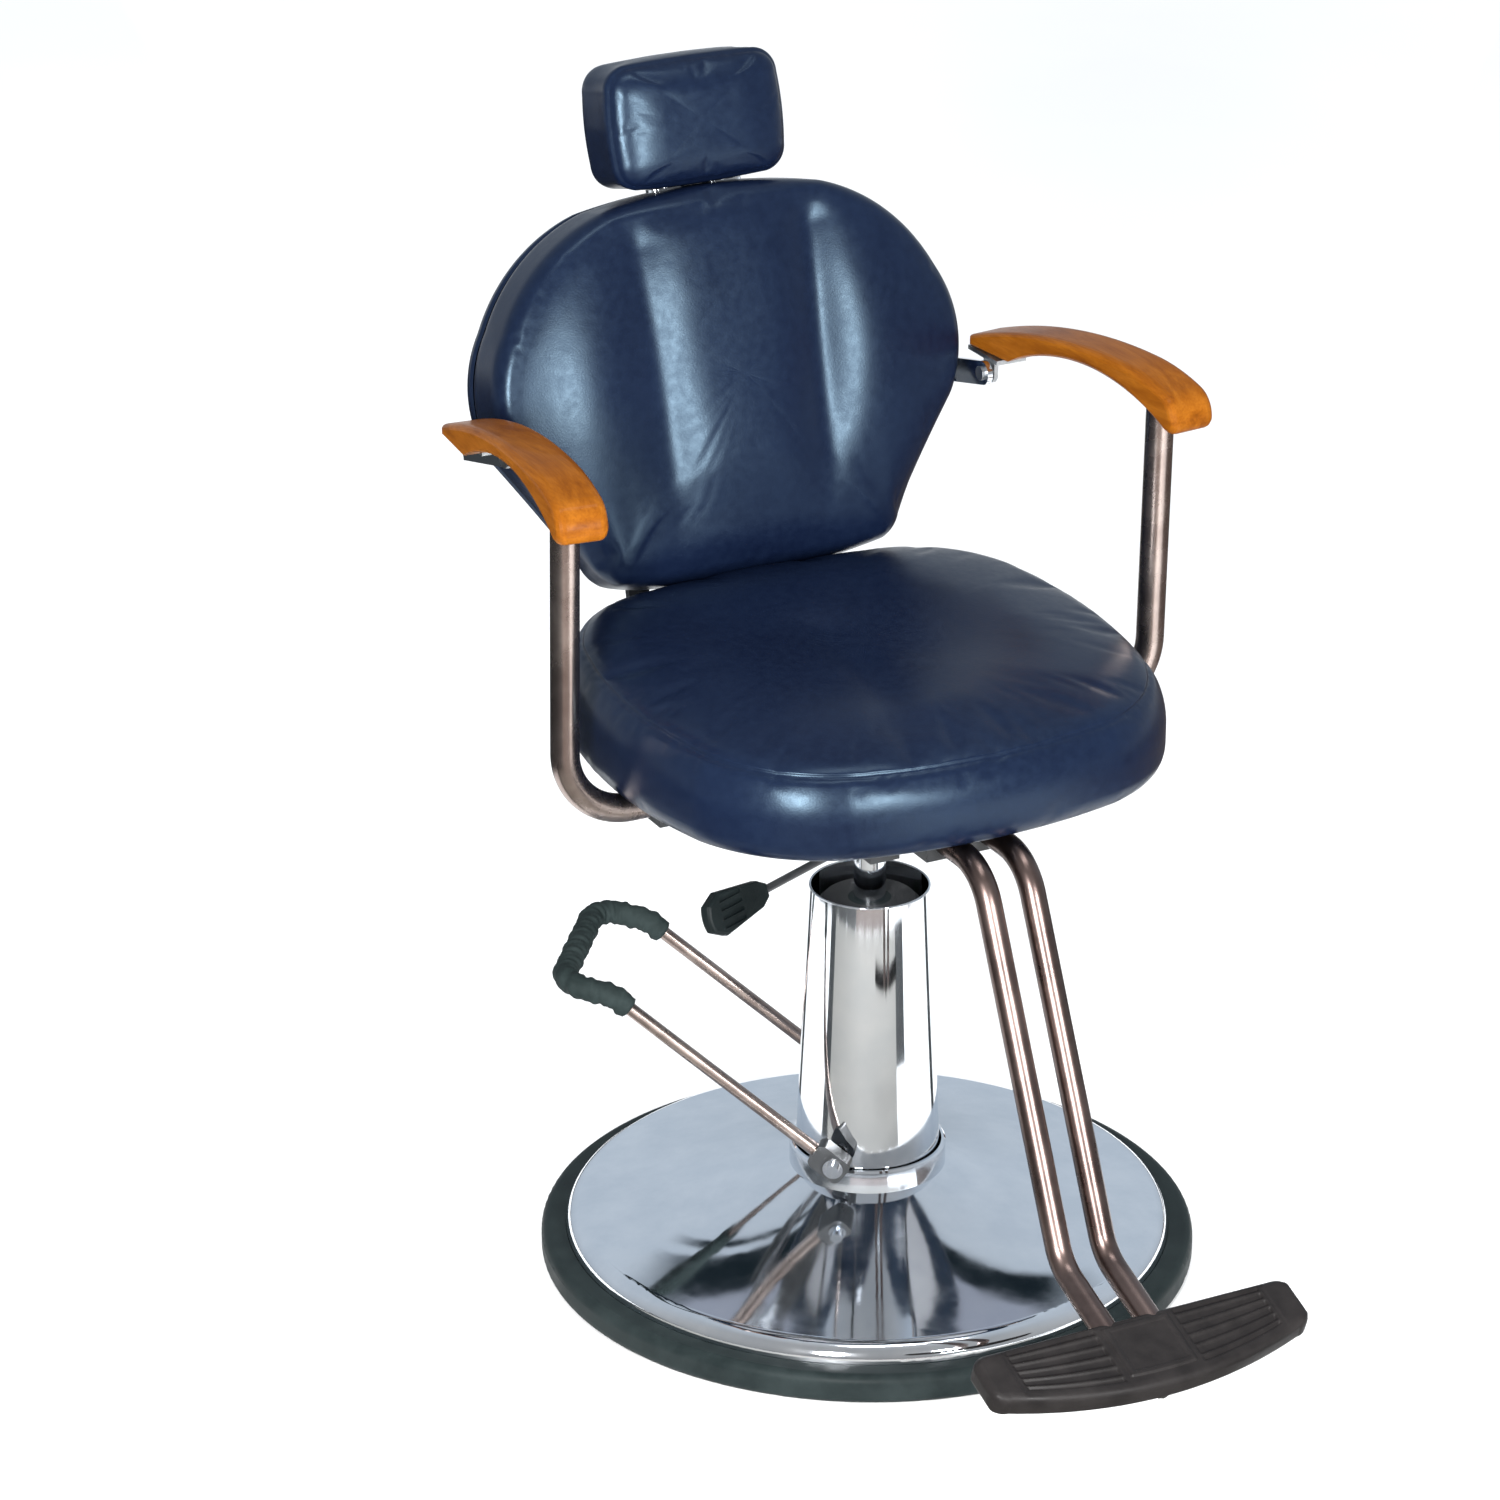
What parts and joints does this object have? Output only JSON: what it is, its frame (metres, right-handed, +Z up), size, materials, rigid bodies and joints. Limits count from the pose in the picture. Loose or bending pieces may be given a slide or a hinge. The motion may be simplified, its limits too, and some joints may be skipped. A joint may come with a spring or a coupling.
{
  "type": "hydraulic barber chair",
  "caption": "Reclining hydraulic barber chair: padded seat, apple shaped back and headrest, wooden armrests, footrest, round chrome base and pump lever.",
  "frame": {"origin": "centre of the round base at floor level", "axes": "+Z up, the sitter faces -Y, +X to the sitter's left"},
  "size_m": [0.6264, 0.917, 1.0132],
  "materials": {
    "black_rubber": "matte",
    "plate_steel": "satin",
    "chrome": "polished",
    "cast_iron": "rough",
    "bolt_steel": "satin",
    "bronze_bush": "satin",
    "spring_steel": "satin",
    "black_metal": "satin",
    "grip_foam": "matte, bumpy",
    "plywood": "raw",
    "navy_leather": "soft sheen",
    "arm_wood": "gloss varnish",
    "black_plastic": "satin"
  },
  "bodies": {
    "base": {"base_ring": "black_rubber", "base_plate": "plate_steel", "base_cover": "chrome", "column_collar": "chrome", "column_cover": "chrome", "pump_block": "cast_iron", "pump_bolts": "bolt_steel", "shaft_bushes": "bronze_bush", "lift_cylinder": "plate_steel", "oil_tank": "plate_steel", "ram_gland": "cast_iron", "gland_wiper": "black_rubber", "plunger_spring": "spring_steel"},
    "lever": {"lever_shaft": "bolt_steel", "pump_lever": "chrome", "lever_grip": "grip_foam", "lever_clamps": "black_metal", "lever_bolts": "chrome"},
    "plunger": {"pump_plunger": "bolt_steel"},
    "piston": {"piston_head": "plate_steel", "piston_seal": "black_rubber"},
    "seat": {"lift_ram": "chrome", "seat_hub": "plate_steel", "seat_bolts": "bolt_steel", "seat_board": "plywood", "seat_cushion": "navy_leather", "post_bearing_left": "black_metal", "post_bearing_right": "black_metal", "back_hinge_left": "black_metal", "back_hinge_right": "black_metal", "footrest_clamp": "black_metal", "footrest_tube_left": "chrome", "footrest_tube_right": "chrome", "footrest_treadle": "black_plastic", "lock_housing": "black_metal", "release_head": "black_metal"},
    "back": {"back_cushion": "navy_leather", "back_board": "plywood", "back_rear_panel": "navy_leather", "back_bar_left": "black_metal", "back_bar_right": "black_metal", "back_bar_bolts": "bolt_steel", "back_shaft": "bolt_steel", "lock_crank": "black_metal", "arm_bar_left": "chrome", "arm_bar_right": "chrome", "headrest_sleeve_left": "chrome", "headrest_sleeve_right": "chrome"},
    "headrest": {"headrest_cushion": "navy_leather", "headrest_rod_left": "chrome", "headrest_rod_right": "chrome"},
    "arm_left": {"armrest_left": "arm_wood", "arm_rear_bracket_left": "plate_steel"},
    "arm_right": {"armrest_right": "arm_wood", "arm_rear_bracket_right": "plate_steel"},
    "post_left": {"arm_post_left": "chrome"},
    "post_right": {"arm_post_right": "chrome"},
    "lock": {"lock_rod": "chrome"},
    "release": {"release_rod": "black_metal", "release_paddle": "black_plastic"}
  },
  "joints": [
    {"name": "lift", "type": "slide", "parent": "base", "child": "piston", "axis": [0, 0, 1], "range_m": [0, 0.145]},
    {"name": "swivel", "type": "hinge", "parent": "piston", "child": "seat", "pos_m": [0, 0, 0.3], "axis": [0, 0, 1], "continuous": true},
    {"name": "recline", "type": "hinge", "parent": "seat", "child": "back", "pos_m": [0, 0.23, 0.43], "axis": [-1, 0, 0], "range_deg": [0, 35]},
    {"name": "headrest_height", "type": "slide", "parent": "back", "child": "headrest", "axis": [0, 0.2419, 0.9703], "range_m": [0, 0.065]},
    {"name": "arm_left_level", "type": "hinge", "parent": "back", "child": "arm_left", "pos_m": [-0.257, 0.222, 0.718], "axis": [-1, 0, 0], "range_deg": [-35, 0]},
    {"name": "arm_right_level", "type": "hinge", "parent": "back", "child": "arm_right", "pos_m": [0.257, 0.222, 0.718], "axis": [-1, 0, 0], "range_deg": [-35, 0]},
    {"name": "post_left_swing", "type": "hinge", "parent": "seat", "child": "post_left", "pos_m": [-0.164, 0.014, 0.468], "axis": [-1, 0, 0], "range_deg": [0, 35]},
    {"name": "post_right_swing", "type": "hinge", "parent": "seat", "child": "post_right", "pos_m": [0.164, 0.014, 0.468], "axis": [-1, 0, 0], "range_deg": [0, 35]},
    {"name": "lock_rod_slide", "type": "slide", "parent": "seat", "child": "lock", "axis": [0, -1, 0], "range_m": [0, 0.02285]},
    {"name": "release_lever", "type": "hinge", "parent": "seat", "child": "release", "pos_m": [-0.062, -0.075, 0.434], "axis": [-0.4147, 0.91, 0], "range_deg": [0, 8], "stiffness_Nm_per_rad": 1.5, "springref_deg": -14.32},
    {"name": "pump_lever", "type": "hinge", "parent": "base", "child": "lever", "pos_m": [-0.01352, 0.0103, 0.118], "axis": [-0.606, -0.7955, 0], "range_deg": [0, 30], "stiffness_Nm_per_rad": 4, "springref_deg": -34.38},
    {"name": "pump_stroke", "type": "slide", "parent": "base", "child": "plunger", "axis": [0, 0, -1], "range_m": [0, 0.01139], "deforming": ["plunger_spring"]}
  ],
  "couplings": [
    {"joint": "arm_left_level", "follows": "recline", "ratio": -1},
    {"joint": "arm_right_level", "follows": "recline", "ratio": -1},
    {"joint": "post_left_swing", "follows": "recline", "ratio": 1},
    {"joint": "post_right_swing", "follows": "recline", "ratio": 1},
    {"joint": "lock_rod_slide", "follows": "recline", "m_per_rad": 0.037412},
    {"joint": "pump_stroke", "follows": "pump_lever", "m_per_rad": 0.02175}
  ]
}
